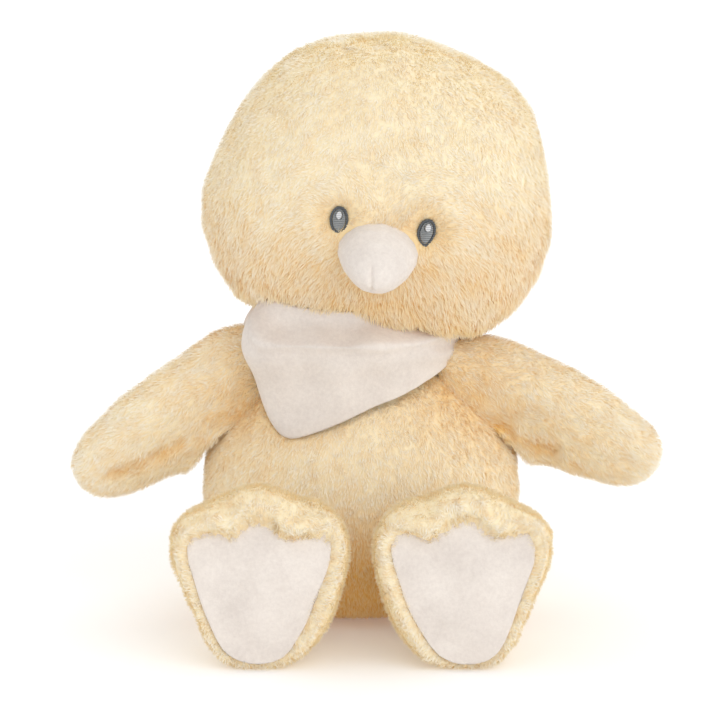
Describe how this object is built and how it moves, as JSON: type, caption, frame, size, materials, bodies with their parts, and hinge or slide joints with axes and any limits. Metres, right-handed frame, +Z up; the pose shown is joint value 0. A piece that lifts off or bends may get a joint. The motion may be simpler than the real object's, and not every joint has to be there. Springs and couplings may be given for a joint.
{
  "type": "plush toy duck",
  "caption": "Seated plush duck with tilted head, velour beak and soles, hanging wings and a triangular neck scarf.",
  "frame": {"origin": "middle of the duck's outer box, on the plane it sits on", "axes": "+Z up, -Y the way the duck faces, +X on the right of someone who looks at its face"},
  "size_m": [0.2935, 0.2007, 0.2877],
  "materials": {
    "butter_fur": "cut fur pile",
    "butter_fur_under": "cut fur pile",
    "cream_velour": "short velour pile",
    "white_fibre": "loose polyester fibre",
    "pouch_cloth": "plain woven cloth",
    "dark_grey_thread": "satin stitch",
    "grey_thread": "satin stitch",
    "silver_thread": "satin stitch"
  },
  "bodies": {
    "torso": {"body_front_panel": "butter_fur", "body_back_panel": "butter_fur", "body_stuffing": "white_fibre", "seat_pellet_pouch": "pouch_cloth", "tail_cover": "butter_fur", "tail_stuffing": "white_fibre", "bandana": "cream_velour"},
    "neck_sleeve_body": {"neck_sleeve": "butter_fur_under"},
    "neck_core": {"neck_stuffing": "white_fibre"},
    "head": {"head_front_panel": "butter_fur", "head_back_panel": "butter_fur", "head_stuffing": "white_fibre", "beak_cover": "cream_velour", "beak_stuffing": "white_fibre", "left_eye_outline": "dark_grey_thread", "left_eye_fill": "grey_thread", "left_eye_highlight": "silver_thread", "right_eye_outline": "dark_grey_thread", "right_eye_fill": "grey_thread", "right_eye_highlight": "silver_thread"},
    "left_wing_root_body": {"left_wing_root": "butter_fur_under"},
    "left_wing": {"left_wing_upper_panel": "butter_fur", "left_wing_under_panel": "butter_fur_under", "left_wing_stuffing": "white_fibre"},
    "left_leg_root_body": {"left_leg_root": "butter_fur_under"},
    "left_leg": {"left_leg_cover": "butter_fur", "left_sole_patch": "cream_velour", "left_leg_stuffing": "white_fibre"},
    "right_wing_root_body": {"right_wing_root": "butter_fur_under"},
    "right_wing": {"right_wing_upper_panel": "butter_fur", "right_wing_under_panel": "butter_fur_under", "right_wing_stuffing": "white_fibre"},
    "right_leg_root_body": {"right_leg_root": "butter_fur_under"},
    "right_leg": {"right_leg_cover": "butter_fur", "right_sole_patch": "cream_velour", "right_leg_stuffing": "white_fibre"}
  },
  "joints": [
    {"name": "head_turn", "type": "hinge", "parent": "torso", "child": "neck_sleeve_body", "pos_m": [-0.0028, 0.0216, 0.135], "axis": [0, 0, 1], "range_deg": [-18, 18]},
    {"name": "head_nod", "type": "hinge", "parent": "neck_sleeve_body", "child": "neck_core", "pos_m": [-0.0028, 0.0216, 0.135], "axis": [1, 0, 0], "range_deg": [-10, 4]},
    {"name": "head_tilt", "type": "hinge", "parent": "neck_core", "child": "head", "pos_m": [-0.0028, 0.0216, 0.135], "axis": [0, 1, 0], "range_deg": [-8.4, 4]},
    {"name": "left_wing_sweep", "type": "hinge", "parent": "torso", "child": "left_wing_root_body", "pos_m": [-0.0533, 0.0136, 0.1225], "axis": [0, 0, 1], "range_deg": [-12, 10]},
    {"name": "left_wing_flap", "type": "hinge", "parent": "left_wing_root_body", "child": "left_wing", "pos_m": [-0.0533, 0.0136, 0.1225], "axis": [0, 1, 0], "range_deg": [-6, 20]},
    {"name": "left_leg_splay", "type": "hinge", "parent": "torso", "child": "left_leg_root_body", "pos_m": [-0.0398, -0.0244, 0.03], "axis": [0, 0, -1], "range_deg": [-3, 18]},
    {"name": "left_leg_swing", "type": "hinge", "parent": "left_leg_root_body", "child": "left_leg", "pos_m": [-0.0398, -0.0244, 0.03], "axis": [-1, 0, 0], "range_deg": [-30, 16]},
    {"name": "right_wing_sweep", "type": "hinge", "parent": "torso", "child": "right_wing_root_body", "pos_m": [0.0477, 0.0136, 0.1185], "axis": [0, 0, -1], "range_deg": [-12, 10]},
    {"name": "right_wing_flap", "type": "hinge", "parent": "right_wing_root_body", "child": "right_wing", "pos_m": [0.0477, 0.0136, 0.1185], "axis": [0, -1, 0], "range_deg": [-6, 20]},
    {"name": "right_leg_splay", "type": "hinge", "parent": "torso", "child": "right_leg_root_body", "pos_m": [0.0342, -0.0244, 0.03], "axis": [0, 0, 1], "range_deg": [-3, 18]},
    {"name": "right_leg_swing", "type": "hinge", "parent": "right_leg_root_body", "child": "right_leg", "pos_m": [0.0342, -0.0244, 0.03], "axis": [-1, 0, 0], "range_deg": [-30, 16]}
  ]
}
